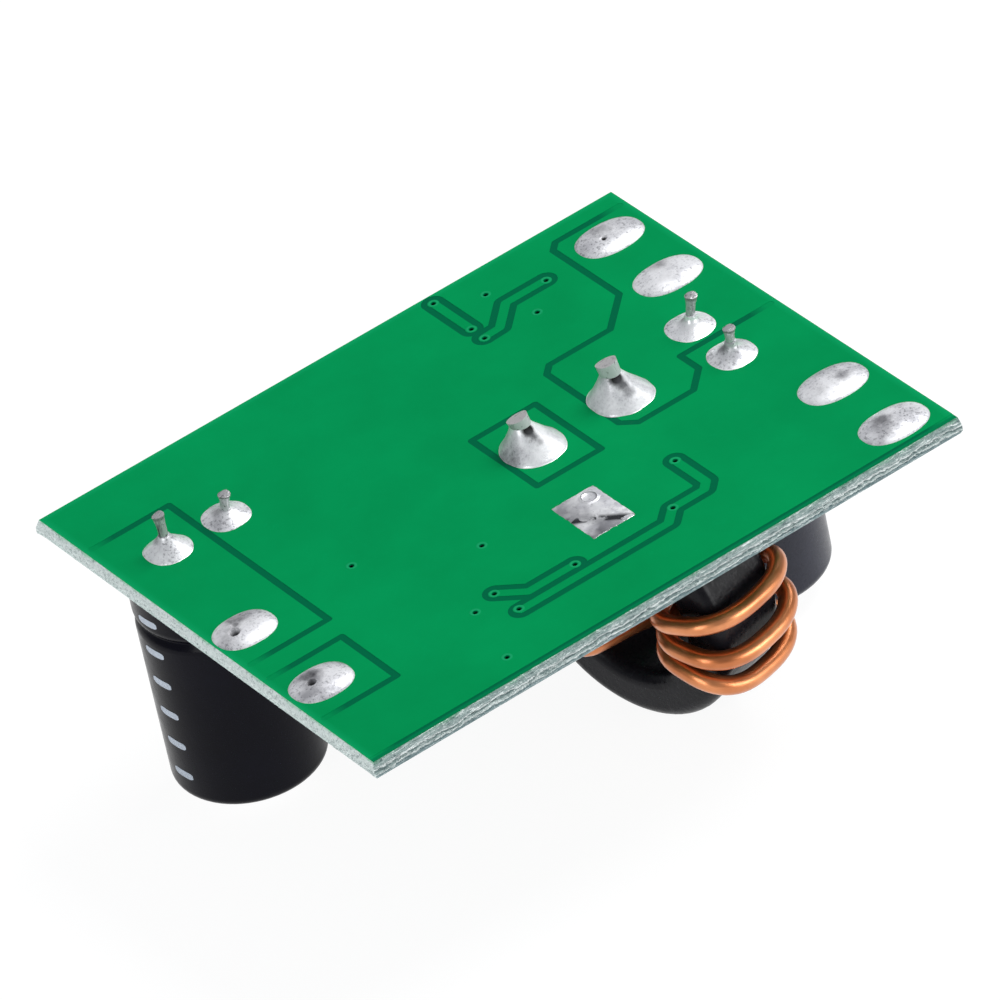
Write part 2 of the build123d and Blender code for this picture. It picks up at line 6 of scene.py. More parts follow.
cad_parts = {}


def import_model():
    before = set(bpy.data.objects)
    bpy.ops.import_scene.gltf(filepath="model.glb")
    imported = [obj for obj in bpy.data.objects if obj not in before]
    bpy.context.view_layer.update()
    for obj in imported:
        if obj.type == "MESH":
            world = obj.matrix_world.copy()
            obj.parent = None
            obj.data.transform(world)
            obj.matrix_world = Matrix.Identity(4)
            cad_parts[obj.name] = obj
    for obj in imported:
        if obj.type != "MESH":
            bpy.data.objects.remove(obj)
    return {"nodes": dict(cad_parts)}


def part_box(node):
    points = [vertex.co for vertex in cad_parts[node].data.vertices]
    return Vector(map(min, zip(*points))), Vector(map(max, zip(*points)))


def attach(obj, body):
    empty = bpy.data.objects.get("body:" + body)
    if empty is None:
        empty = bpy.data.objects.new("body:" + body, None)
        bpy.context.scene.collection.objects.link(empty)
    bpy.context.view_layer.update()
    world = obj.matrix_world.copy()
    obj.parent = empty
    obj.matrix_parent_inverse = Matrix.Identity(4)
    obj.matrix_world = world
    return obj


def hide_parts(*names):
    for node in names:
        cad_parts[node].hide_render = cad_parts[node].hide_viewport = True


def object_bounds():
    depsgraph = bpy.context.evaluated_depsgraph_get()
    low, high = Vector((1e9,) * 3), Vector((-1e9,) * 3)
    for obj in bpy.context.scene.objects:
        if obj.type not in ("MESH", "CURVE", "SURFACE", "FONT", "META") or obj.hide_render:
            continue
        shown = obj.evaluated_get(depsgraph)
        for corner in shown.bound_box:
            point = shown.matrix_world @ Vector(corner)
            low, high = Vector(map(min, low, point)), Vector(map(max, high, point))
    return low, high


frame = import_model()
cad_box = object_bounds()
MM = 0.001

# The board and its edges, from the frame
board_low, board_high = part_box("circuit_board")
board_top = board_high.z
board_bottom = board_low.z
snap_web = 0.28 * MM
snap_flank = 0.34 * MM
face_middle = Vector((snap_web / 2, snap_web / 2))
face_end = 17.8 * MM
face_edge = 14.4 * MM
same_plane = 0.01 * MM

# Gaps between the copper areas, and where the copper ends short of the board's edges
groove_depth = 0.05 * MM
shown_groove = 0.014 * MM
groove_fade_start = 1.7 * MM
groove_fade_end = 0.7 * MM
copper_margin = 0.42 * MM
margin_end = 0.05 * MM
front_margin = 0.32 * MM
front_groove_margin = 0.2 * MM
margin_blur = 0.1 * MM

# Snapped sides: points along each, and their roughness in layers of share, and waves a mm along and down
left_stations = 480
front_stations = 600
torn_layers = [(0.34, 0.8, 4.0), (0.34, 3.4, 9.0), (0.26, 8.0, 14.0)]
torn_seed = 7.0
torn_fade = 0.6 * MM
torn_most = 0.98
score_roughness = 0.6

# Vias: radius and height of the mask's rim round one and of its barrel, in mm
rim_height = 0.012
rim_profile = [
    (0.31, -0.004), (0.28, rim_height / 2), (0.23, rim_height), (0.18, rim_height),
    (0.135, -0.006), (0.11, -0.07), (0.22, -0.12), (0.31, -0.1),
]
barrel_outer = 0.25 * MM
barrel_inner = 0.16 * MM
barrel_top = board_top - 0.1 * MM
via_spacing = 0.7 * MM

# Wire pads: pits (place, width, depth), spots of painted shade and dark painted reflection (place, reach,
# strength), and how much shorter a pad is than its solid and how far it is shifted, in mm
pad_height = 0.36 * MM
pad_plug = 0.73 * MM
pad_power = 2.35
pads = {
    "panel_plus_pad": {
        "pits": [(-0.45, -0.2, 0.16, 0.1)],
        "shade_and_reflection_spots": [(-0.45, -0.2, 0.3, 1.0), (-0.1, 0.5, 1.2, 0.6)],
    },
    "panel_minus_pad": {"shade_and_reflection_spots": [(0.1, 0.7, 1.1, 0.75), (-0.3, -0.5, 1.0, 0.4)]},
    "load_plus_pad": {"shade_and_reflection_spots": [(0.5, -0.2, 1.0, 0.6), (-0.9, -0.3, 1.1, 0.4)]},
    "load_minus_pad": {"shade_and_reflection_spots": [(-0.35, 0.35, 0.9, 0.75), (-0.9, -0.5, 1.0, 0.4)]},
    "battery_plus_pad": {
        "pits": [(-0.62, -0.12, 0.28, 0.3), (-0.3, 0.34, 0.16, 0.1)],
        "shade_and_reflection_spots": [(-0.62, -0.12, 0.4, 1.0), (-0.2, 0.6, 1.25, 0.85), (-1.0, 0.0, 1.0, 0.5)],
        "shorter": 0.46,
        "shift": -0.2,
    },
    "battery_minus_pad": {
        "pits": [(-0.5, 0.02, 0.24, 0.3), (-0.2, 0.5, 0.2, 0.12)],
        "shade_and_reflection_spots": [(-0.5, 0.02, 0.36, 1.0), (-0.15, 0.5, 1.05, 0.85), (-0.9, -0.4, 0.9, 0.4)],
        "shorter": 0.46,
        "shift": -0.08,
    },
}

# Capacitor pins: how each leans and rises, and its joint's height and hollowness, in mm
pin_pitch = 3.5 * MM
pin_radius = 0.3 * MM
pin_steps = 20
pin_neck = 0.8
pin_head = 1.1
pin_head_start = 0.7
pin_stations = (0.06, 0.2, 0.4, 0.6, 0.75, 0.84, 0.9, 0.95, 1.0)
pin_tips = {
    "left": [(-0.08, 0.1, 2.18), (0.12, -0.12, 1.42)],
    "right": [(0.08, -0.08, 1.66), (0.26, -0.28, 1.98)],
}
pin_joints = {"left": [(0.92, 1.25), (0.46, 1.2)], "right": [(0.85, 2.6), (0.8, 2.6)]}
pin_joint_width = {"left": 2.45 * MM, "right": 2.5 * MM}
joint_steps = 56
joint_levels = 22

# Inductor: the core's own measures, the wire's route round it and the wire's two ends
core_turn = 15.0
core_centre = Vector((5.33 * MM, -3.27 * MM, 6.35 * MM)) + face_middle.to_3d()
wire_radius = 0.5 * MM
wire_step = 0.45 * MM
turn_inner = 2.4 * MM
turn_outer = 7.21 * MM
turn_face = 3.28 * MM
turn_power = 0.75
turn_steps = 14

# Angle of each turn of the wire in the bore, on the front, over the rim and on the back
turn_angles = [
    (-99.5, -88.0, -86.0, -88.0),
    (-75.0, -64.0, -62.0, -64.0),
    (-50.5, -41.0, -38.0, -40.0),
    (-26.0, -17.4, -13.5, -16.3),
    (-1.5, 2.5, 5.7, 2.8),
    (23.0, 17.3, 23.1, 24.3),
]
first_angle = -112.0
final_angle = 47.5
turn_overrun = 0.45

# The end lead's corners out of the bore: along the rim's direction, down and forward, in mm
lead_corners = [(0.75, 1.75, -1.6), (0.03, 1.16, 1.6), (-0.95, 0.74, 6.2), (-3.3, -3.6, 3.9)]
lead_in_bend = (0.45, 2.2 * MM)
lead_out_bend = (0.48, 1.9 * MM)
lead_joint_width = 3.34 * MM
lead_joint_height = 1.45 * MM
lead_joint_power = 1.2
lead_throat = 0.55 * MM
lead_places = [Vector((x * MM, -0.02 * MM)) + face_middle for x in (2.3, 7.74)]
wire_tips = [(-0.35 * MM, 0.4 * MM, 1.88 * MM), (-0.26 * MM, 0.36 * MM, 2.12 * MM)]
wire_ridge = Vector((0.9, -0.2, 0))
tip_swell = 0.14

# Painted dark reflection: a streak down the front of each lead's joint: place, reach and strength, in mm
lead_reflection_streak = [(-0.2, -0.29, 1.36, 0.6, 1.0), (-0.13, -0.5, 1.08, 0.55, 0.85), (0.0, -0.84, 0.72, 0.6, 0.55)]

# Window: its skin, the two holes under it and the ring that stands up over the first
window_rise = 0.1 * MM
window_columns = 60
window_rows = 80
window_middle = Vector((1.15 * MM, -6.63 * MM)) + face_middle
window_holes = [window_middle + Vector((dx * MM, dy * MM)) for dx, dy in ((0.52, 1.08), (-0.75, -0.87))]
window_hole_radius = 0.43 * MM
window_ring = window_holes[0]
ring_width = 0.1 * MM
ring_rise = 0.055 * MM
dish_radius = 0.36 * MM
dish_depth = 0.02 * MM

# Dashes on the left sleeve, in mm and degrees
mark_count = 6
mark_first = 1.6
mark_pitch = 1.9
mark_angle = 184.0
mark_width = 20.0
mark_height = 0.42
mark_steps = 12
mark_lift = 0.012 * MM
mark_sunk = 0.02 * MM

# Camera, fitted to the photograph: where it stands, where it looks and how it is rolled
camera_place = Vector((-0.22910, -0.41825, 0.35929))
camera_look = Vector((0.388786, 0.710005, -0.587144))
camera_roll = radians(-12.44)
camera_lens = 432.0

# Lamps by their place, what they face, their size and their power
lamps = {
    "key": ((0.3, 0.02, 0.42), (0, 0, 0.01), (0.3, 0.3), 2.1),
    "front_left": ((-0.4, -0.25, 0.18), (0, 0, 0.005), (0.2, 0.3), 0.7),
    "front_right": ((0.3, -0.4, 0.1), (0, 0, 0.005), (0.25, 0.2), 0.9),
}
surround_color = (0.34, 0.35, 0.37, 1)
floor_glow = 1.07
floor_glow_share = 0.86


class Shader:
    """Builds one node material, with its pattern in the object's own metres."""

    def __init__(self, name):
        self.material = bpy.data.materials.new(name)
        self.material.use_nodes = True
        self.nodes = self.material.node_tree.nodes
        self.links = self.material.node_tree.links
        self.nodes.clear()
        self.output = self.add("ShaderNodeOutputMaterial")
        self.surface = self.add("ShaderNodeBsdfPrincipled")
        self.links.new(self.surface.outputs[0], self.output.inputs["Surface"])
        self.place = self.add("ShaderNodeTexCoord").outputs["Object"]

    def add(self, kind, **settings):
        node = self.nodes.new(kind)
        for key, value in settings.items():
            setattr(node, key, value)
        return node

    def put(self, socket, value):
        if isinstance(value, bpy.types.NodeSocket):
            self.links.new(value, socket)
        else:
            socket.default_value = value

    def set(self, **values):
        for key, value in values.items():
            self.put(self.surface.inputs[key.replace("_", " ")], value)

    def noise(self, scale, detail=3.0, rough=0.55, stretch=(1, 1, 1), distortion=0.0):
        mapping = self.add("ShaderNodeMapping")
        self.put(mapping.inputs["Vector"], self.place)
        mapping.inputs["Scale"].default_value = stretch
        texture = self.add("ShaderNodeTexNoise")
        self.links.new(mapping.outputs[0], texture.inputs["Vector"])
        texture.inputs["Scale"].default_value = scale
        texture.inputs["Detail"].default_value = detail
        texture.inputs["Roughness"].default_value = rough
        texture.inputs["Distortion"].default_value = distortion
        return texture.outputs[0]

    def bands(self, value, stops):
        """Colours in bands that run into one another, by a value from 0 to 1."""
        node = self.add("ShaderNodeValToRGB")
        self.put(node.inputs[0], value)
        node.color_ramp.interpolation = "LINEAR"
        elements = node.color_ramp.elements
        while len(elements) < len(stops):
            elements.new(0.5)
        for element, (position, color) in zip(elements, stops):
            element.position = position
            element.color = (*color, 1)
        return node.outputs[0]

    def span(self, value, low, high, to_low=0.0, to_high=1.0):
        node = self.add("ShaderNodeMapRange")
        self.put(node.inputs["Value"], value)
        node.inputs["From Min"].default_value = low
        node.inputs["From Max"].default_value = high
        node.inputs["To Min"].default_value = to_low
        node.inputs["To Max"].default_value = to_high
        return node.outputs[0]

    def math(self, operation, first, second):
        node = self.add("ShaderNodeMath", operation=operation)
        self.put(node.inputs[0], first)
        self.put(node.inputs[1], second)
        return node.outputs[0]

    def plus(self, first, second):
        return self.math("ADD", first, second)

    def times(self, first, second):
        return self.math("MULTIPLY", first, second)

    def mix(self, share, first, second):
        node = self.add("ShaderNodeMix", data_type="RGBA")
        self.put(node.inputs[0], share)
        for socket, color in ((node.inputs[6], first), (node.inputs[7], second)):
            if isinstance(color, tuple):
                color = (*color, 1)
            self.put(socket, color)
        return node.outputs[2]

    def axes(self):
        node = self.add("ShaderNodeSeparateXYZ")
        self.links.new(self.place, node.inputs[0])
        return node.outputs

    def near(self, point, reach):
        """1 at a point of the object, falling to 0 at its reach."""
        node = self.add("ShaderNodeVectorMath", operation="DISTANCE")
        self.put(node.inputs[0], self.place)
        node.inputs[1].default_value = point
        return self.span(node.outputs["Value"], 0.0, reach, 1.0, 0.0)

    def bump(self, height, strength, distance):
        node = self.add("ShaderNodeBump")
        self.put(node.inputs["Height"], height)
        node.inputs["Strength"].default_value = strength
        node.inputs["Distance"].default_value = distance * MM
        self.links.new(node.outputs[0], self.surface.inputs["Normal"])


def mask_material():
    """Glossy green solder mask: darker in the gaps between copper, paler past the copper's edge."""
    skin = Shader("green_mask")
    x, y, z = skin.axes()
    cloud = skin.noise(160, 4, 0.6)
    green = skin.mix(cloud, (0.0, 0.215, 0.06), (0.0, 0.31, 0.092))
    green = skin.mix(skin.span(skin.noise(2600, 2), 0.6, 0.8, 0.0, 0.08), green, (0.0, 0.36, 0.13))

    along = skin.math("ABSOLUTE", skin.math("SUBTRACT", x, face_middle.x), 0.0)
    across = skin.math("SUBTRACT", y, face_middle.y)
    past_ends = skin.span(along, face_end - copper_margin, face_end - margin_end)
    past_back = skin.span(across, face_edge - copper_margin, face_edge - margin_end)
    past_front = skin.span(across, front_margin - face_edge, front_margin - margin_blur - face_edge)
    rim = skin.math("MAXIMUM", past_ends, past_back)
    green = skin.mix(skin.times(rim, 0.4), green, (0.006, 0.37, 0.14))
    green = skin.mix(skin.times(past_front, 0.75), green, (0.0, 0.15, 0.06))

    raised = skin.span(z, board_top + rim_height / 6 * MM, board_top + rim_height * MM)
    green = skin.mix(skin.times(raised, 0.45), green, (0.02, 0.36, 0.17))
    deep = skin.span(z, board_top - 0.9 * shown_groove, board_top - 0.3 * shown_groove, 1.0, 0.0)
    faded = skin.span(along, face_end - groove_fade_start, face_end - groove_fade_end, 1.0, 0.12)
    behind_front = skin.span(
        across, front_groove_margin - face_edge, front_groove_margin + margin_blur - face_edge
    )
    deep = skin.times(skin.times(deep, faded), behind_front)
    green = skin.mix(skin.times(deep, 0.95), green, (0.0, 0.116, 0.05))
    skin.set(Base_Color=green, Roughness=skin.span(cloud, 0.3, 0.7, 0.34, 0.46), Specular_IOR_Level=0.015)
    skin.bump(skin.noise(420, 3), 0.12, 0.06)
    return skin.material


def snapped_material(name, streak, stops, torn_share, grain_share):
    """Broken glass-fibre laminate: plies in bands down the edge, broken up by torn fibres."""
    skin = Shader(name)
    depth = skin.span(skin.axes()[2], board_top, board_bottom)
    depth = skin.plus(depth, skin.span(skin.noise(900, 3, 0.6), 0.3, 0.7, -0.09, 0.09))
    color = skin.bands(depth, stops)
    torn = skin.noise(3400, 4, 0.8, streak, 0.8)
    grain = skin.noise(5200, 3, 0.75)
    color = skin.mix(skin.span(torn, 0.47, 0.36, 0.0, torn_share), color, (0.035, 0.07, 0.075))
    color = skin.mix(skin.span(torn, 0.55, 0.64, 0.0, torn_share), color, (0.9, 0.96, 0.94))
    color = skin.mix(skin.span(grain, 0.45, 0.34, 0.0, grain_share), color, (0.11, 0.2, 0.18))
    color = skin.mix(skin.span(grain, 0.55, 0.64, 0.0, grain_share), color, (0.9, 0.97, 0.93))
    skin.set(Base_Color=color, Roughness=0.6, Specular_IOR_Level=0.3)
    skin.bump(skin.plus(torn, grain), 0.8, 0.09)
    return skin.material


def metal_material(
    name, color, dark, rough, grain=1400.0, depth=0.05, spots=0.5, metallic=1.0, stretch=(1, 1, 1)
):
    """Metal with a mottled skin: small dull patches and dimples in a brighter surface."""
    skin = Shader(name)
    patches = skin.noise(grain, 5, 0.65, stretch)
    pits = skin.noise(3.3 * grain, 2, 0.5)
    tint = skin.mix(skin.span(patches, 0.46, 0.3, 0.0, spots), color, dark)
    tint = skin.mix(skin.span(pits, 0.38, 0.28, 0.0, 0.7 * spots), tint, dark)
    skin.set(Base_Color=tint, Metallic=metallic, Roughness=skin.span(patches, 0.3, 0.7, rough[1], rough[0]))
    skin.bump(skin.plus(patches, skin.times(pits, 0.5)), 0.5, depth)
    return skin.material


def solder_material(name, shade_and_reflection_spots=(), grainy=0.7):
    """Hand-flowed solder: a bright skin with dull patches and fine dark grains, near-black painted shade in
    its pits and grey painted shade and dark painted reflections round other given spots.
    """
    skin = Shader(name)
    patches = skin.noise(560, 4, 0.62)
    grains = skin.noise(6400, 3, 0.7)
    tint = skin.mix(skin.span(patches, 0.4, 0.64), (0.97, 0.97, 0.99), (0.58, 0.58, 0.61))
    sparse = skin.span(patches, 0.36, 0.6, 0.2 * grainy, grainy)
    tint = skin.mix(skin.times(skin.span(grains, 0.48, 0.38), sparse), tint, (0.12, 0.12, 0.135))
    blot = skin.plus(skin.span(patches, 0.3, 0.7, -0.3, 0.3), skin.span(grains, 0.3, 0.7, -0.16, 0.16))
    painted_dark_share = 0.0
    # Painted light: spots of strength 1 are near-black painted shade in the pits; weaker spots are grey
    # painted shade and dark painted reflections
    for point, reach, strength in shade_and_reflection_spots:
        is_pit = strength >= 1
        blotted, low, high = (0.2, 0.3, 0.6) if is_pit else (0.8, 0.12, 0.8)
        close = skin.plus(skin.near(point, reach), skin.times(blot, blotted))
        close = skin.span(close, low, high, 0.0, strength)
        tint = skin.mix(close, tint, (0.012, 0.011, 0.01) if is_pit else (0.09, 0.09, 0.1))
        painted_dark_share = skin.math("MAXIMUM", close, painted_dark_share)
    rough = skin.plus(skin.span(patches, 0.3, 0.7, 0.26, 0.42), painted_dark_share)
    skin.set(Base_Color=tint, Metallic=0.45, Roughness=rough)
    skin.bump(skin.plus(patches, skin.times(grains, 0.45)), 0.5, 0.04)
    return skin.material


def window_material():
    """Tinned window: dull and bright at the back, with painted dark reflections before its front corner, a
    band of painted shade on its left and painted shade on the inner slope of its ring.
    """
    skin = Shader("tinned_window")
    x, y = skin.axes()[:2]
    patches = skin.noise(620, 4, 0.6, (1, 1, 1), 0.8)
    grains = skin.noise(4200, 3, 0.7)
    along = skin.math("SUBTRACT", window_middle.x, x)
    across = skin.math("SUBTRACT", window_middle.y, y)
    front = skin.span(skin.plus(along, skin.times(across, 1.15)), 0.2 * MM, 1.5 * MM)
    left = skin.span(skin.plus(along, skin.times(across, 0.3)), -0.9 * MM, 1.3 * MM)

    tint = skin.mix(skin.span(patches, 0.42, 0.62), (0.97, 0.97, 0.98), (0.66, 0.66, 0.7))
    # Painted shade: a dark grey band across the left of the window
    shade = skin.noise(480, 2, 0.5, (1, 1, 1), 0.6)
    tint = skin.mix(skin.times(skin.span(shade, 0.4, 0.54), left), tint, (0.16, 0.16, 0.175))
    # Painted dark reflections: blots before the front corner
    blot = skin.noise(760, 3, 0.55, (1, 1, 1), 1.8)
    before_corner = skin.times(skin.span(front, 0.2, 0.5), skin.span(front, 0.95, 0.78))
    tint = skin.mix(skin.times(skin.span(blot, 0.46, 0.52), before_corner), tint, (0.03, 0.03, 0.035))
    tint = skin.mix(skin.span(grains, 0.45, 0.35, 0.0, 0.3), tint, (0.16, 0.16, 0.18))
    # Painted shade on the inner slope of the raised ring
    ring = skin.near((window_ring.x, window_ring.y, board_top + window_rise), 0.5 * MM)
    band = skin.times(skin.span(ring, 0.12, 0.2), skin.span(ring, 0.34, 0.24))
    tint = skin.mix(skin.times(band, 0.75), tint, (0.1, 0.1, 0.11))
    skin.set(Base_Color=tint, Metallic=0.5, Roughness=skin.span(front, 0.0, 1.0, 0.36, 0.14))
    skin.bump(skin.plus(patches, skin.times(grains, 0.3)), 0.6, 0.09)
    return skin.material


def copper_material():
    """Enamelled copper wire: clear varnish over warm metal, with faint drawing marks."""
    skin = Shader("enamelled_copper")
    tone = skin.noise(420, 3)
    color = skin.mix(skin.span(tone, 0.35, 0.65), (0.56, 0.175, 0.055), (0.78, 0.3, 0.12))
    rough = skin.span(skin.noise(5200, 2), 0.3, 0.7, 0.3, 0.4)
    skin.set(Base_Color=color, Metallic=0.92, Roughness=rough)
    skin.set(Coat_Weight=0.5, Coat_Roughness=0.2, Coat_IOR=1.5)
    skin.bump(tone, 0.25, 0.05)
    return skin.material


def plastic_material(name, color, rough, coat=0.0, grain=900.0, depth=0.02, lighter=1.6, gloss=0.5):
    """Plain moulded or coated surface with a slight unevenness of tone, gloss and height."""
    skin = Shader(name)
    cloud = skin.noise(grain, 4)
    fine = skin.noise(6 * grain, 2)
    light_color = tuple(min(1.0, lighter * value) for value in color)
    skin.set(Base_Color=skin.mix(skin.span(cloud, 0.35, 0.7), color, light_color))
    skin.set(Roughness=skin.span(fine, 0.3, 0.7, rough[0], rough[1]), Specular_IOR_Level=gloss)
    skin.set(Coat_Weight=coat, Coat_Roughness=0.06)
    skin.bump(skin.plus(cloud, skin.times(fine, 0.4)), 0.35, depth)
    return skin.material


def core_material():
    """Thin black coating on pressed iron powder: satin, with small grains and scuffs."""
    skin = Shader("core_coating")
    cloud = skin.noise(350, 4)
    grain = skin.noise(3800, 3)
    scuffs = skin.noise(1300, 5, 0.75, (1, 1, 0.35), 1.5)
    color = skin.mix(skin.span(cloud, 0.3, 0.7), (0.005, 0.005, 0.007), (0.012, 0.012, 0.016))
    color = skin.mix(skin.span(scuffs, 0.66, 0.76, 0.0, 0.5), color, (0.09, 0.09, 0.1))
    skin.set(Base_Color=color, Roughness=skin.span(grain, 0.3, 0.7, 0.22, 0.38), Specular_IOR_Level=0.15)
    skin.bump(skin.plus(grain, skin.times(cloud, 1.5)), 0.3, 0.05)
    return skin.material


def clear_material():
    """Clear pale resin of the signal lights."""
    skin = Shader("light_lens")
    cloud = skin.noise(1500, 2)
    skin.set(Base_Color=skin.mix(cloud, (0.86, 0.8, 0.6), (0.92, 0.88, 0.74)))
    skin.set(Roughness=skin.span(cloud, 0.3, 0.7, 0.12, 0.2), Transmission_Weight=0.45, IOR=1.5)
    return skin.material


def metals():
    """The looks of pins, wire ends, barrels, cans and tabs."""
    drawn = (1, 1, 0.22)
    return {
        "pin": metal_material(
            "pin_metal", (0.52, 0.52, 0.54), (0.02, 0.02, 0.022), (0.2, 0.34),
            grain=1700, depth=0.03, spots=1.0, metallic=0.4, stretch=drawn,
        ),
        "pin_head": metal_material(
            "pin_head", (0.26, 0.26, 0.265), (0.02, 0.02, 0.02), (0.26, 0.4),
            grain=2600, depth=0.05, spots=0.95, metallic=0.4,
        ),
        "pin_cut": metal_material(
            "pin_cut", (0.46, 0.46, 0.47), (0.02, 0.02, 0.02), (0.2, 0.36),
            grain=3000, depth=0.06, spots=1.0, metallic=0.5,
        ),
        "cut": metal_material(
            "cut_metal", (0.56, 0.54, 0.54), (0.12, 0.12, 0.12), (0.36, 0.5),
            grain=2200, depth=0.03, spots=0.7, metallic=0.5,
        ),
        "tinned": metal_material(
            "tinned_wire", (0.6, 0.6, 0.62), (0.07, 0.07, 0.07), (0.24, 0.4),
            grain=1100, depth=0.03, spots=1.0, metallic=0.3, stretch=drawn,
        ),
        "via": metal_material(
            "via_copper", (0.06, 0.045, 0.035), (0.01, 0.01, 0.01), (0.4, 0.55), grain=3000, depth=0.02
        ),
        "can": metal_material(
            "can_metal", (0.82, 0.82, 0.84), (0.6, 0.6, 0.62), (0.24, 0.34), grain=900, depth=0.01
        ),
        "lead": metal_material(
            "lead_metal", (0.76, 0.76, 0.78), (0.5, 0.5, 0.52), (0.26, 0.38), grain=2600, depth=0.02
        ),
    }


def plastics():
    """The looks of sleeves, bungs, mouldings, ceramics and print."""
    return {
        "sleeve": plastic_material(
            "black_sleeve", (0.002, 0.002, 0.005), (0.2, 0.3), coat=0.03, grain=260, depth=0.05, gloss=0.09
        ),
        # Painted sheen: a lighter bluish copy of the black sleeve, used on the right capacitor's sleeve
        "sleeve_lit": plastic_material(
            "lit_sleeve", (0.02, 0.022, 0.034), (0.24, 0.34),
            coat=0.1, grain=420, depth=0.04, lighter=1.35, gloss=0.22,
        ),
        "bung": plastic_material("bung_rubber", (0.012, 0.012, 0.012), (0.6, 0.75)),
        "moulding": plastic_material(
            "chip_moulding", (0.02, 0.02, 0.021), (0.5, 0.62), grain=2600, depth=0.03
        ),
        "resistor": plastic_material("resistor_glaze", (0.014, 0.014, 0.016), (0.24, 0.34), coat=0.3),
        "ceramic": plastic_material(
            "ceramic_tan", (0.36, 0.23, 0.12), (0.42, 0.52), grain=1500, lighter=1.25
        ),
        "base": plastic_material("light_base", (0.72, 0.72, 0.68), (0.4, 0.5), lighter=1.1),
        "print": plastic_material(
            "white_print", (0.5, 0.56, 0.64), (0.45, 0.6), grain=2600, depth=0.01, lighter=1.15
        ),
    }


# Colours of the laminate down its two snapped sides, by depth as a share of its thickness
front_bands = [
    (0.0, (0.16, 0.34, 0.24)),
    (0.1, (0.24, 0.33, 0.31)),
    (0.3, (0.3, 0.38, 0.37)),
    (0.36, (0.86, 0.92, 0.9)),
    (0.43, (0.1, 0.16, 0.16)),
    (0.56, (0.4, 0.5, 0.48)),
    (0.63, (0.8, 0.87, 0.85)),
    (0.7, (0.1, 0.17, 0.18)),
    (1.0, (0.26, 0.36, 0.37)),
]
left_bands = [
    (0.0, (0.5, 0.84, 0.64)),
    (0.08, (0.88, 1.0, 0.96)),
    (0.45, (0.9, 1.0, 0.97)),
    (0.75, (0.82, 0.96, 0.92)),
    (1.0, (0.68, 0.84, 0.8)),
]
looks = {
    "mask": mask_material(),
    "edge_front": snapped_material("laminate_front", (0.35, 2.6, 3.2), front_bands, 0.85, 0.2),
    "edge_left": snapped_material("laminate_left", (2.6, 1.4, 2.8), left_bands, 0.42, 0.52),
    "solder": solder_material("solder"),
    "window": window_material(),
    "copper": copper_material(),
    "core": core_material(),
    "lens": clear_material(),
    **metals(),
    **plastics(),
}

# Looks of the pieces that stay as they are in the frame
node_looks = {
    "inductor_core": "core",
    "smd_solder": "solder",
    "regulator_body": "moulding",
    "regulator_leads": "lead",
    "regulator_slug": "lead",
    "sense_resistor_bodies": "resistor",
    "chip_resistor_bodies": "resistor",
    "chip_capacitor_bodies": "ceramic",
    "status_light_bodies": "base",
    "status_light_lenses": "lens",
    "left_capacitor_sleeve": "sleeve",
    "right_capacitor_sleeve": "sleeve_lit",
}
for group in ("sense_resistor", "chip_resistor", "chip_capacitor", "status_light"):
    node_looks[group + "_caps"] = "lead"
for group in ("blocking_diode", "freewheel_diode"):
    node_looks[group + "_body"] = "moulding"
    node_looks[group + "_tabs"] = "lead"
for group in ("left_capacitor", "right_capacitor"):
    node_looks[group + "_can"] = "can"
    node_looks[group + "_bung"] = "bung"
for node, look in node_looks.items():
    for holder in frame["nodes"][node].material_slots:
        holder.material = looks[look]


def piece(name, verts, faces, look_names, replaced=(), face_looks=None, crease=35):
    """A mesh piece of the object on its one body, with its materials and what it stands for."""
    mesh = bpy.data.meshes.new(name)
    mesh.from_pydata([tuple(point) for point in verts], [], faces)
    for look_name in look_names:
        mesh.materials.append(looks[look_name])
    if face_looks:
        mesh.polygons.foreach_set("material_index", face_looks)
    mesh.polygons.foreach_set("use_smooth", [True] * len(mesh.polygons))
    mesh.set_sharp_from_angle(angle=radians(crease))
    mesh.validate()
    obj = bpy.data.objects.new(name, mesh)
    bpy.context.collection.objects.link(obj)
    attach(obj, "root")
    if replaced:
        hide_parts(*replaced)


def joined(parts):
    """Several (verts, faces) pairs as one."""
    verts = []
    faces = []
    for part_verts, part_faces in parts:
        start = len(verts)
        verts += part_verts
        faces += [tuple(start + index for index in face) for face in part_faces]
    return verts, faces


def skinned(rings, first_cap=True, last_cap=True):
    """A closed skin over rings of equally many points, with flat ends where wanted."""
    steps = len(rings[0])
    verts = [point for ring in rings for point in ring]
    faces = []
    for row in range(len(rings) - 1):
        this_ring = row * steps
        next_ring = this_ring + steps
        for step in range(steps):
            following = (step + 1) % steps
            faces.append((this_ring + step, this_ring + following, next_ring + following, next_ring + step))
    if first_cap:
        faces.append(tuple(reversed(range(steps))))
    if last_cap:
        faces.append(tuple((len(rings) - 1) * steps + step for step in range(steps)))
    return verts, faces


def ring_at(centre, radius, level, steps, power=2.0, stretch=1.0):
    """A level ring of points: a circle, or a rounder-cornered oval where power is over 2."""
    points = []
    for step in range(steps):
        angle = 2 * pi * step / steps
        reach = radius / (abs(cos(angle)) ** power + abs(sin(angle)) ** power) ** (1 / power)
        points.append(
            Vector((centre[0] + stretch * reach * cos(angle), centre[1] + reach * sin(angle), level))
        )
    return points


def uneven(seed, scale, depth):
    """A small smooth unevenness that is the same in every run."""

    def amount(point):
        return depth * noise.noise(point / MM * scale + Vector((seed, 0, 0)))

    return amount


def centre_and_size(node):
    """The middle and the size of a node's box in the frame."""
    low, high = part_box(node)
    return (low + high) / 2, high - low


# Board: its faces and holes as they are, its two snapped sides with torn fibres, its raised vias


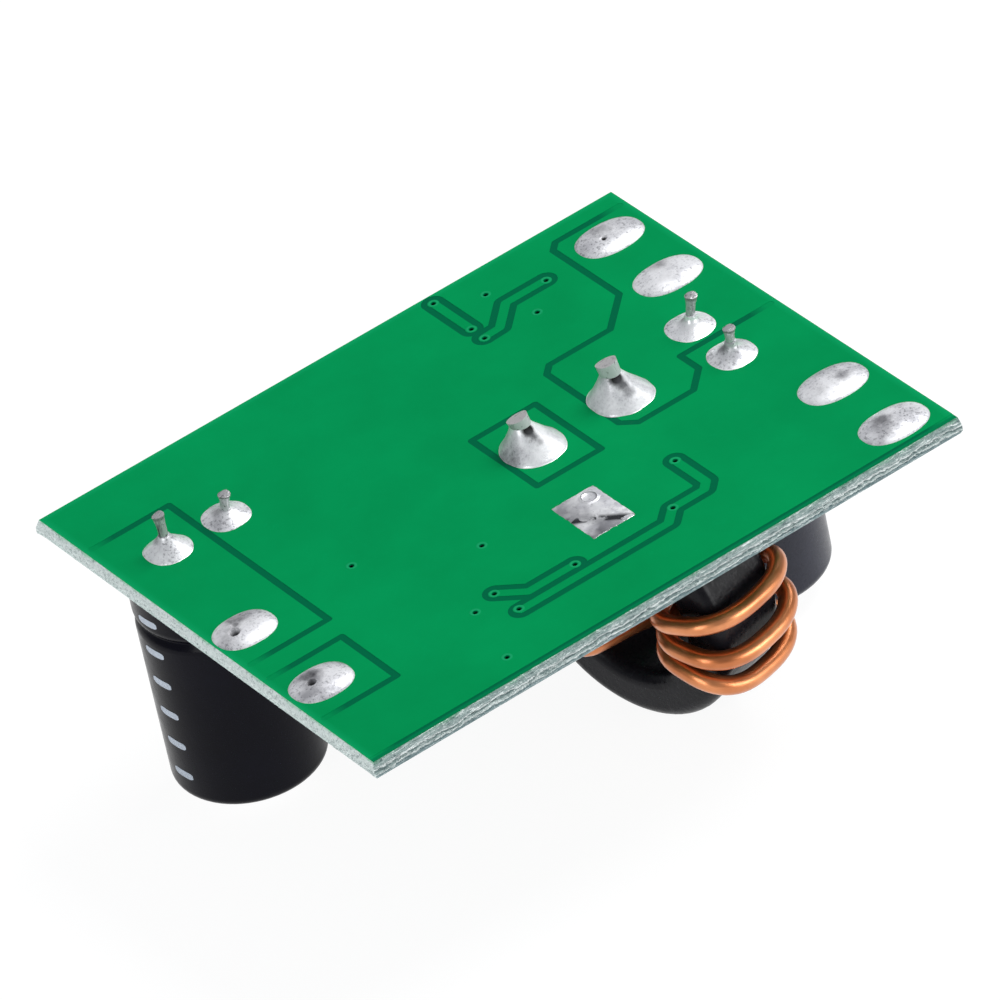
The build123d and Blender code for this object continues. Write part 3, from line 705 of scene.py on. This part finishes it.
def side_stations():
    """Points along the left and then the front side: place, outward direction and way so far."""
    left = face_middle.x - face_end
    front = face_middle.y - face_edge
    stations = []
    for step in range(left_stations):
        along = 2 * face_edge * step / left_stations
        stations.append((Vector((left, face_middle.y + face_edge - along, 0)), Vector((-1, 0, 0)), along))
    stations.append((Vector((left, front, 0)), Vector((-1, -1, 0)), 2 * face_edge))
    for step in range(1, front_stations + 1):
        along = 2 * face_end * step / front_stations
        stations.append((Vector((left + along, front, 0)), Vector((0, -1, 0)), 2 * face_edge + along))
    return stations


def torn_sides():
    """The two snapped sides in one strip round their corner: score flank, torn web, lower flank."""
    thickness = board_top - board_bottom
    web = thickness - 2 * snap_flank
    rows = [(share, share * snap_flank) for share in (0.0, 0.2, 0.4, 0.6, 0.8, 1.0)]
    rows += [(1.0, snap_flank + share * web) for share in (0.14, 0.28, 0.43, 0.57, 0.71, 0.86, 1.0)]
    rows += [(1 - share, thickness - (1 - share) * snap_flank) for share in (0.2, 0.4, 0.6, 0.8, 1.0)]
    stations = side_stations()
    whole = 2 * (face_end + face_edge)
    verts = []
    for out, drop in rows:
        roughness = score_roughness if drop < snap_flank else 1.0
        for base, outward, along in stations:
            fade = min(1.0, along / torn_fade, (whole - along) / torn_fade)
            ragged = 0.0
            for share, waves_along, waves_down in torn_layers:
                spot = Vector((waves_along * along / MM, waves_down * drop / MM, torn_seed))
                ragged += share * (0.5 + 0.8 * noise.noise(spot))
            ragged = max(0.0, min(torn_most, fade * ragged * roughness))
            verts.append(base + outward * (out * snap_web * (1 - ragged)) + Vector((0, 0, board_top - drop)))
    wide = len(stations)
    faces = []
    face_looks = []
    for row in range(len(rows) - 1):
        for step in range(wide - 1):
            corner = row * wide + step
            faces.append((corner, corner + wide, corner + wide + 1, corner + 1))
            face_looks.append(2 if step < left_stations else 1)
    return verts, faces, face_looks


def via_places():
    """The middle of every via barrel in the frame."""
    groups = []
    for vertex in frame["nodes"]["plated_vias"].data.vertices:
        flat = Vector((vertex.co.x, vertex.co.y))
        near = [group for group in groups if (group[0] - flat).length < via_spacing]
        if near:
            near[0].append(flat)
        else:
            groups.append([flat])
    middles = []
    for group in groups:
        low = Vector((min(point.x for point in group), min(point.y for point in group)))
        high = Vector((max(point.x for point in group), max(point.y for point in group)))
        middles.append((low + high) / 2)
    return middles


def via_rim(spot):
    """The ring of mask that stands up round one via and narrows its hole."""
    rings = [ring_at(spot, radius * MM, board_top + level * MM, 24) for radius, level in rim_profile]
    return skinned(rings + [rings[0]], False, False)


def via_barrel(spot):
    """The dark plated barrel inside one via."""
    profile = [(barrel_outer, board_bottom), (barrel_outer, barrel_top)]
    profile += [(barrel_inner, barrel_top), (barrel_inner, board_bottom)]
    rings = [ring_at(spot, radius, level, 20) for radius, level in profile]
    return skinned(rings + [rings[0]], False, False)


def board_piece():
    """The board from its own faces, without the plain snapped sides, and with the torn ones."""
    source = frame["nodes"]["circuit_board"].data
    verts = [vertex.co.copy() for vertex in source.vertices]
    for point in verts:
        if abs(point.z - (board_top - groove_depth)) < 0.2 * groove_depth:
            point.z = board_top - shown_groove
    faces = []
    face_looks = []
    left = face_middle.x - face_end + same_plane
    right = face_middle.x + face_end - same_plane
    front = face_middle.y - face_edge + same_plane
    back = face_middle.y + face_edge - same_plane
    for polygon in source.polygons:
        points = [verts[index] for index in polygon.vertices]
        upright = abs(polygon.normal.z) < 0.5
        outer = upright and all(point.x > right or point.y > back for point in points)
        snapped = all(point.y < front for point in points) or all(point.x < left for point in points)
        if outer or not snapped:
            faces.append(tuple(polygon.vertices))
            face_looks.append(2 if outer else 0)
    strip_verts, strip_faces, strip_looks = torn_sides()
    rims = [via_rim(spot) for spot in via_places()]
    face_looks += strip_looks + [0] * sum(len(rim[1]) for rim in rims)
    verts, faces = joined([(verts, faces), (strip_verts, strip_faces)] + rims)
    look_names = ["mask", "edge_front", "edge_left"]
    piece("board", verts, faces, look_names, ["circuit_board"], face_looks, 28)


def via_barrels():
    """The barrels of all vias."""
    verts, faces = joined([via_barrel(spot) for spot in via_places()])
    piece("via_barrels", verts, faces, ["via"], ["plated_vias"])


# Solder: the wire pads and the volcano-shaped joints


def pad_mound(centre, size, seed, pits):
    """The low smooth mound of one oval pad, with its pits."""
    bumpy = uneven(seed, 1.1, 1.0)
    rings = []
    for share in [1.0, 0.985, 0.95] + [0.92 - 0.045 * step for step in range(20)] + [0.015]:
        ring = ring_at(centre, share * size.y / 2, board_top, 120, pad_power, size.x / size.y)
        for point in ring:
            rise = pad_height * (1 - share ** 2.5) ** 0.75
            point.z += rise * (0.93 + 0.07 * bumpy(point) * (1 - share))
            for dx, dy, wide, deep in pits:
                away = hypot(point.x - centre.x - dx * MM, point.y - centre.y - dy * MM) / (wide * MM)
                point.z -= deep * MM * max(0.0, 1 - away ** 2) ** 0.7
        rings.append(ring)
    return skinned(rings, False, True)


def pad_underside(centre, size):
    """The low dome of solder under one pad, on the component side."""
    low = centre.z - size.z / 2
    rings = [ring_at(centre, 0.02 * size.y, low, 48, 2.0, size.x / size.y)]
    for share, climb in ((0.4, 0.08), (0.7, 0.35), (0.9, 0.72), (1.0, 1.0)):
        level = low + climb * (board_bottom - low)
        rings.append(ring_at(centre, share * size.y / 2, level, 48, 2.2, size.x / size.y))
    return skinned(rings)


def pad_piece(node, seed, pits=(), shade_and_reflection_spots=(), shorter=0.0, shift=0.0):
    """One oval pad: a mound over the filled hole, the solder in the hole and the dome below."""
    centre, size = centre_and_size(node)
    centre.x += shift * MM
    size.x -= shorter * MM
    column = skinned([ring_at(centre, pad_plug, level, 40) for level in (board_bottom, board_top)])
    verts, faces = joined([pad_mound(centre, size, seed, pits), pad_underside(centre, size), column])
    # Spots of painted shade and dark painted reflection on the pad, set a little above the board's face
    shade_spot_level = board_top + 0.45 * pad_height
    marks = []
    for dx, dy, reach, strength in shade_and_reflection_spots:
        marks.append(((centre.x + dx * MM, centre.y + dy * MM, shade_spot_level), reach * MM, strength))
    looks[node] = solder_material(node + "_solder", marks)
    piece(node + "_solder", verts, faces, [node], [node])


def joint_part(place, width, height, throat, lean, seed, power):
    """One solder joint: a hollow-sided cone that leans with its pin, and the plug in its hole."""
    plug = throat + 0.05 * MM
    rings = [ring_at(place, plug, level, joint_steps) for level in (board_bottom, board_top)]
    bumpy = uneven(seed, 1.4, 0.035)
    for step in range(joint_levels + 1):
        climb = (step / joint_levels) ** 1.35
        spread = 0.965 if step == 1 else (1 - climb) ** power
        middle = (place[0] + lean[0] * climb * height, place[1] + lean[1] * climb * height)
        radius = throat + spread * (width / 2 - throat)
        ring = ring_at(middle, radius, board_top + climb * height, joint_steps, 2.0 + 0.25 * spread)
        for point in ring:
            away = Vector((point.x - middle[0], point.y - middle[1], 0))
            point += away * bumpy(point) * (0.3 + 0.7 * spread)
        rings.append(ring)
    return skinned(rings)


def swept(points, radii, steps):
    """Rings of points square to a path, carried along it without twist."""
    rings = []
    side = None
    for index, (point, radius) in enumerate(zip(points, radii)):
        before = points[max(index - 1, 0)]
        after = points[min(index + 1, len(points) - 1)]
        ahead = (after - before).normalized()
        if side is None:
            side = ahead.orthogonal().normalized()
        side = (side - ahead * side.dot(ahead)).normalized()
        other = ahead.cross(side)
        angles = [2 * pi * step / steps for step in range(steps)]
        rings.append([point + side * radius * cos(angle) + other * radius * sin(angle) for angle in angles])
    return rings


def cut_end(ring, ahead, ridge, drop):
    """Two slanting facets where cutters nipped the metal off, with a ridge between them."""
    centre = sum(ring, Vector()) / len(ring)
    across = ahead.cross(ridge).normalized()
    edge = []
    for point in ring:
        offset = (point - centre).dot(across)
        edge.append(point - ahead * (drop * abs(offset) + 0.12 * offset))
    faces = [(step, (step + 1) % len(edge), len(edge)) for step in range(len(edge))]
    return edge, (edge + [centre], faces)


def pin_part(place, foot, lean, rise):
    """One cut capacitor pin above the board, thinner below its nipped head."""
    start = Vector((place[0], place[1], foot))
    level = Vector((place[0], place[1], board_top))
    tip = level + Vector((lean[0] * rise, lean[1] * rise, rise))
    path = [start, start.lerp(level, 0.98)]
    widths = [pin_radius, pin_radius]
    for share in pin_stations:
        swell = max(0.0, (share - pin_head_start) / (1 - pin_head_start))
        path.append(level.lerp(tip, share))
        widths.append(pin_radius * (pin_neck + (pin_head - pin_neck) * swell))
    rings = swept(path, widths, pin_steps)
    rings[-1], cap = cut_end(rings[-1], (tip - level).normalized(), Vector((0.8, 0.6, 0)), 0.26)
    return skinned(rings, True, False), cap


def pins_and_joints(side):
    """The two pins of one capacitor with their cut ends, and the joints round them."""
    centre = centre_and_size(side + "_capacitor_solder")[0]
    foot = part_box(side + "_capacitor_pins")[0].z
    bodies = []
    caps = []
    joints = []
    shade_and_reflection_spots = []
    for index, (lean_x, lean_y, rise) in enumerate(pin_tips[side]):
        reach = (2 * index - 1) * pin_pitch / 2
        place = (centre.x + reach, centre.y) if side == "left" else (centre.x, centre.y + reach)
        lean = (lean_x / rise, lean_y / rise)
        body, cap = pin_part(place, foot, lean, rise * MM)
        bodies.append(body)
        caps.append(cap)
        height, power = pin_joints[side][index]
        height *= MM
        width = pin_joint_width[side]
        joints.append(joint_part(place, width, height, 0.98 * pin_radius, lean, 3.0 + 5 * index, power))
        # Painted shade and dark painted reflection on each joint, beside its pin
        shade_and_reflection_spots.append(((place[0] - 0.2 * MM, place[1] + 0.25 * MM, board_top + 0.6 * height), 0.6 * MM, 0.7))
    head_faces = 2 * pin_steps
    face_looks = []
    for body in bodies:
        face_looks += [0] * (len(body[1]) - 1 - head_faces) + [1] * head_faces + [0]
    face_looks += [2] * sum(len(cap[1]) for cap in caps)
    verts, faces = joined(bodies + caps)
    look_names = ["pin", "pin_head", "pin_cut"]
    piece(side + "_pins", verts, faces, look_names, [side + "_capacitor_pins"], face_looks)
    verts, faces = joined(joints)
    looks[side + "_joints"] = solder_material(side + "_joint_solder", shade_and_reflection_spots)
    piece(side + "_joints", verts, faces, [side + "_joints"], [side + "_capacitor_solder"])


# Inductor winding: the wire's route round the core, its tinned cut ends and their joints


def ring_spot(along, down, forward):
    """A point by its place along the core's rim, below its middle and out from its middle plane."""
    turn = radians(core_turn)
    face_out = Vector((-cos(turn), -sin(turn), 0))
    rim_along = Vector((sin(turn), -cos(turn), 0))
    return core_centre + rim_along * along - Vector((0, 0, down)) + face_out * forward


def ring_point(radius, angle, forward):
    """A point by its distance from the core's axis, its angle below the level and its depth."""
    return ring_spot(radius * cos(radians(angle)), radius * sin(radians(angle)), forward)


def blended(values, place):
    """The value at a place between evenly spaced ones, on a smooth curve through them."""
    index = min(int(place), len(values) - 2)
    share = place - index
    start, finish = values[index], values[index + 1]
    before = values[index - 1] if index else 2 * start - finish
    after = values[index + 2] if index + 2 < len(values) else 2 * finish - start
    soft = share * share * (3 - 2 * share)
    leave = share * (1 - share) ** 2 * (finish - before) / 2
    arrive = share * share * (share - 1) * (after - start) / 2
    return start + soft * (finish - start) + leave + arrive


def bulged(value):
    """A sine or cosine drawn out, so that a circle becomes a rounder-cornered oval."""
    return copysign(abs(value) ** turn_power, value)


def turn_path():
    """The six turns: an oval about the core's section that moves on round the ring."""
    angles = [first_angle] + [angle for turn in turn_angles for angle in turn] + [final_angle]
    middle = (turn_outer + turn_inner) / 2
    reach = (turn_outer - turn_inner) / 2
    path = []
    for step in range(int((len(angles) - 2 + turn_overrun) * turn_steps) + 1):
        place = step / turn_steps
        sweep = pi * (1.5 - place / 2)
        radius = middle + reach * bulged(cos(sweep))
        path.append(ring_point(radius, blended(angles, place), turn_face * bulged(sin(sweep))))
    return path


def lead_end(index):
    """The wire's end in one lead hole: below the board, at its face and at its cut tip."""
    place = lead_places[index]
    lean_x, lean_y, rise = wire_tips[index]
    return [
        Vector((*place, board_bottom - wire_radius)),
        Vector((*place, board_top)),
        Vector((place.x + lean_x, place.y + lean_y, board_top + rise)),
    ]


def rounded(points, bend_share, bend_limit, steps=9):
    """The same route with an arc at each corner."""
    path = [points[0]]
    for before, corner, after in zip(points[:-2], points[1:-1], points[2:]):
        back = (before - corner).normalized()
        on = (after - corner).normalized()
        bend = pi - back.angle(on)
        if bend < 0.01:
            path.append(corner)
            continue
        room = bend_share * min((before - corner).length, (after - corner).length)
        radius = min(bend_limit, room / tan(bend / 2))
        cut = radius * tan(bend / 2)
        middle = corner + (back + on).normalized() * radius / cos(bend / 2)
        start = corner + back * cut - middle
        finish = corner + on * cut - middle
        for step in range(steps + 1):
            share = step / steps
            spot = (start * sin((1 - share) * bend) + finish * sin(share * bend)) / sin(bend)
            path.append(middle + spot)
    path.append(points[-1])
    return path


def filled_in(path, longest):
    """The path with extra points on its long straight runs."""
    full = [path[0]]
    for start, finish in zip(path[:-1], path[1:]):
        count = max(1, int((finish - start).length / longest))
        full += [start.lerp(finish, (step + 1) / count) for step in range(count)]
    return full


def wire_path():
    """The whole wire: in by the back lead, round the core, and out through the bore to the front lead."""
    turns = turn_path()
    lead_in = rounded(list(reversed(lead_end(1))) + turns[:1], *lead_in_bend)
    corners = [ring_spot(*(value * MM for value in corner)) for corner in lead_corners]
    lead_out = rounded(turns[-2:] + corners + lead_end(0), *lead_out_bend)
    path = filled_in(lead_in[:-1] + turns + lead_out[1:], wire_step)
    pairs = zip(path[:-1], path[1:])
    return path[:1] + [point for before, point in pairs if (point - before).length > 0.02 * MM]


def winding_piece():
    """The enamelled wire, tinned and flattened where it comes out of its joints."""
    path = wire_path()
    radii = []
    for point in path:
        above = (point.z - board_top) / MM
        radii.append(wire_radius * (1 + tip_swell * max(0.0, min(1.0, (above - 1.0) / 0.8))))
    rings = swept(path, radii, 24)
    rings[0], first_cap = cut_end(rings[0], (path[0] - path[1]).normalized(), wire_ridge, 0.16)
    rings[-1], last_cap = cut_end(rings[-1], (path[-1] - path[-2]).normalized(), wire_ridge, 0.16)
    first_cap = (first_cap[0], [tuple(reversed(face)) for face in first_cap[1]])
    verts, faces = skinned(rings, False, False)
    tinned_from = board_bottom - 0.2 * MM
    levels = [sum(verts[index].z for index in face) / len(face) for face in faces]
    face_looks = [1 if level > tinned_from else 0 for level in levels]
    face_looks += [2] * (len(first_cap[1]) + len(last_cap[1]))
    verts, faces = joined([(verts, faces), first_cap, last_cap])
    look_names = ["copper", "tinned", "cut"]
    piece("wound_wire", verts, faces, look_names, ["inductor_winding"], face_looks)


def lead_joints():
    """The two tall joints of the winding's ends."""
    parts = []
    shade_and_reflection_spots = []
    for index, (place, tip) in enumerate(zip(lead_places, wire_tips)):
        lean = (tip[0] / tip[2], tip[1] / tip[2])
        size = (lead_joint_width, lead_joint_height, lead_throat)
        parts.append(joint_part(place, *size, lean, 31.0 + 9 * index, lead_joint_power))
        # Painted dark reflection streak down the front of each joint
        for x, y, rise, reach, strength in lead_reflection_streak:
            spot = (place.x + x * MM, place.y + y * MM, board_top + rise * MM)
            shade_and_reflection_spots.append((spot, reach * MM, strength))
    verts, faces = joined(parts)
    looks["lead_joints"] = solder_material("lead_joint_solder", shade_and_reflection_spots, 0.25)
    piece("lead_joints", verts, faces, ["lead_joints"], ["inductor_solder"])


# Window: its solder, the solder in its holes and the layer over the regulator's slug


def window_skin():
    """The thin uneven skin of solder, with one ring that stands up from it, closed underneath."""
    centre, size = centre_and_size("thermal_pad_solder")
    waves = uneven(57.0, 0.75, 1.0)
    ripples = uneven(91.0, 2.6, 1.0)
    ragged = uneven(23.0, 2.2, 0.05)
    verts = []
    for row in range(window_rows + 1):
        for column in range(window_columns + 1):
            u = 2 * column / window_columns - 1
            v = 2 * row / window_rows - 1
            spot = Vector((centre.x + u * size.x / 2, centre.y + v * size.y / 2, 0))
            rise = window_rise * (1 - abs(u) ** 5) * (1 - abs(v) ** 5)
            rise *= 0.6 + 0.24 * waves(spot) + 0.2 * ripples(spot)
            away = hypot(spot.x - window_ring.x, spot.y - window_ring.y)
            rise += ring_rise * max(0.0, 1 - ((away - window_hole_radius) / ring_width) ** 2)
            rise -= dish_depth * max(0.0, 1 - (away / dish_radius) ** 2)
            on_border = max(abs(u), abs(v)) > 0.999
            inset = 1 - (0.012 + abs(ragged(spot)))
            spot.x = centre.x + (spot.x - centre.x) * inset
            spot.y = centre.y + (spot.y - centre.y) * inset
            spot.z = board_top + (0.0 if on_border else max(0.012 * MM, rise))
            verts.append(spot)
    wide = window_columns + 1
    faces = []
    for row in range(window_rows):
        for column in range(window_columns):
            corner = row * wide + column
            faces.append((corner, corner + 1, corner + wide + 1, corner + wide))
    border = list(range(wide))
    border += [row * wide + window_columns for row in range(1, window_rows + 1)]
    border += [window_rows * wide + column for column in range(window_columns - 1, -1, -1)]
    border += [row * wide for row in range(window_rows - 1, 0, -1)]
    faces.append(tuple(reversed(border)))
    return verts, faces


def window_piece():
    """The tinned window with all of its solder."""
    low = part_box("thermal_pad_solder")[0].z
    parts = [window_skin()]
    for spot in window_holes:
        parts.append(skinned([ring_at(spot, window_hole_radius, level, 32) for level in (low, board_top)]))
    slug_low, slug_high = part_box("regulator_slug")
    slab = []
    for level in (low, board_bottom):
        front = [Vector((slug_low.x, slug_low.y, level)), Vector((slug_high.x, slug_low.y, level))]
        back = [Vector((slug_high.x, slug_high.y, level)), Vector((slug_low.x, slug_high.y, level))]
        slab.append(front + back)
    parts.append(skinned(slab))
    verts, faces = joined(parts)
    piece("window_solder", verts, faces, ["window"], ["thermal_pad_solder"])


def polarity_marks():
    """Pale dashes down the side of the left capacitor's sleeve that mark its minus side."""
    centre, size = centre_and_size("left_capacitor_sleeve")
    outer = size.x / 2 + mark_lift
    inner = outer - mark_sunk
    parts = []
    for index in range(mark_count):
        middle = centre.z - size.z / 2 + (mark_first + index * mark_pitch) * MM
        rings = []
        for step in range(mark_steps + 1):
            angle = radians(mark_angle + mark_width * (step / mark_steps - 0.5))
            half = mark_height * MM * (1 - 0.5 * abs(2 * step / mark_steps - 1) ** 8) / 2
            corners = ((outer, -half), (inner, -half), (inner, half), (outer, half))
            ring = []
            for reach, rise in corners:
                ring.append(
                    Vector((centre.x + reach * cos(angle), centre.y + reach * sin(angle), middle + rise))
                )
            rings.append(ring)
        parts.append(skinned(rings))
    verts, faces = joined(parts)
    piece("polarity_marks", verts, faces, ["print"])


board_piece()
via_barrels()
for index, (pad, details) in enumerate(pads.items()):
    pad_piece(pad, 13.7 * index, **details)
pins_and_joints("left")
pins_and_joints("right")
winding_piece()
lead_joints()
window_piece()
polarity_marks()


# Floor, camera and light


def floor():
    """A plain white floor that keeps a faint shadow."""
    bpy.ops.mesh.primitive_plane_add(size=3.0, location=(0, 0, cad_box[0].z))
    obj = bpy.context.object
    obj.name = "floor"
    skin = Shader("floor_white")
    white = skin.mix(skin.noise(3, 2), (0.9, 0.9, 0.9), (0.92, 0.92, 0.92))
    skin.set(Base_Color=white, Roughness=0.9)
    glow = skin.add("ShaderNodeEmission")
    glow.inputs["Color"].default_value = (1, 1, 1, 1)
    glow.inputs["Strength"].default_value = floor_glow
    path = skin.add("ShaderNodeLightPath")
    seen = skin.math("MAXIMUM", path.outputs["Is Camera Ray"], path.outputs["Is Glossy Ray"])
    seen = skin.math("MAXIMUM", seen, path.outputs["Is Transmission Ray"])
    blend = skin.add("ShaderNodeMixShader")
    skin.put(blend.inputs[0], skin.times(seen, floor_glow_share))
    skin.links.new(skin.surface.outputs[0], blend.inputs[1])
    skin.links.new(glow.outputs[0], blend.inputs[2])
    skin.links.new(blend.outputs[0], skin.output.inputs["Surface"])
    obj.data.materials.append(skin.material)


def world():
    """White to the camera, and a soft grey surround for everything else."""
    surround = bpy.data.worlds.new("studio")
    bpy.context.scene.world = surround
    surround.use_nodes = True
    nodes = surround.node_tree.nodes
    links = surround.node_tree.links
    path = nodes.new("ShaderNodeLightPath")
    seen = nodes.new("ShaderNodeMath")
    seen.operation = "MAXIMUM"
    links.new(path.outputs["Is Camera Ray"], seen.inputs[0])
    links.new(path.outputs["Is Transmission Ray"], seen.inputs[1])
    mix = nodes.new("ShaderNodeMix")
    mix.data_type = "RGBA"
    links.new(seen.outputs[0], mix.inputs[0])
    mix.inputs[6].default_value = surround_color
    mix.inputs[7].default_value = (1, 1, 1, 1)
    links.new(mix.outputs[2], nodes["Background"].inputs["Color"])


def lamp(name, place, aim, size, power):
    """A soft square lamp at place that faces aim."""
    light = bpy.data.lights.new(name, "AREA")
    light.shape = "RECTANGLE"
    light.size, light.size_y = size
    light.energy = power
    obj = bpy.data.objects.new(name, light)
    obj.location = place
    obj.rotation_euler = (Vector(aim) - Vector(place)).to_track_quat("-Z", "Y").to_euler()
    bpy.context.collection.objects.link(obj)


def camera():
    """A long lens from the photograph's place, with the photograph's roll."""
    data = bpy.data.cameras.new("camera")
    data.lens = camera_lens
    data.sensor_width = 36.0
    data.clip_start = 0.05
    data.clip_end = 10.0
    obj = bpy.data.objects.new("camera", data)
    obj.location = camera_place
    turn = camera_look.to_track_quat("-Z", "Y").to_matrix() @ Matrix.Rotation(camera_roll, 3, "Z")
    obj.rotation_euler = turn.to_euler()
    bpy.context.collection.objects.link(obj)
    bpy.context.scene.camera = obj


floor()
world()
for name, settings in lamps.items():
    lamp(name, *settings)
camera()

bpy.context.scene.view_settings.view_transform = "Standard"
